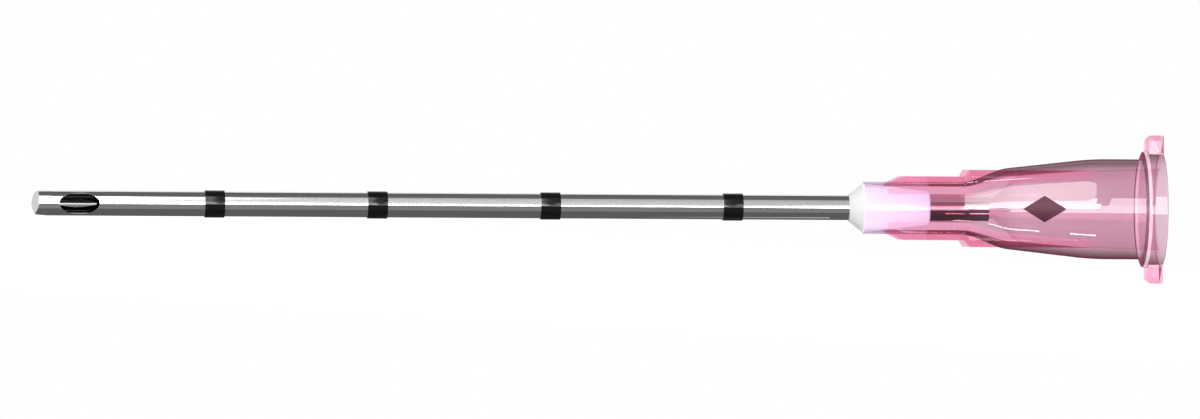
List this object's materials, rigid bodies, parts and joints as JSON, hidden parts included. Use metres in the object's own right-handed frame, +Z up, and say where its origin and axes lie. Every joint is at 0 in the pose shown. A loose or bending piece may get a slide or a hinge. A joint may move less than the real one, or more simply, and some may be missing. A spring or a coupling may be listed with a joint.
{
  "type": "microcannula",
  "caption": "Blunt microcannula: slender steel tube with domed tip, side port and black depth bands, glued into a clear pink ribbed luer hub with lugs.",
  "frame": {"origin": "middle of the underside of the part's box, on the surface that it lies on", "axes": "+X from the tip towards the mouth of the hub along the surface, +Z up, the side port and the mark face -Y; the tube's axis rises towards the hub by the resting angle"},
  "size_m": [0.0596, 0.0062, 0.0078],
  "materials": {
    "hub": "clear tinted pink, moulded",
    "steel": "drawn and polished stainless steel",
    "adhesive": "opaque white cured adhesive",
    "band": "glossy black coating",
    "mark_ink": "dark printed ink"
  },
  "bodies": {
    "root": {"hub": "hub", "cannula_tube": "steel", "adhesive": "adhesive", "orientation_mark": "mark_ink", "depth_band_1": "band", "depth_band_2": "band", "depth_band_3": "band", "depth_band_4": "band"}
  },
  "joints": []
}
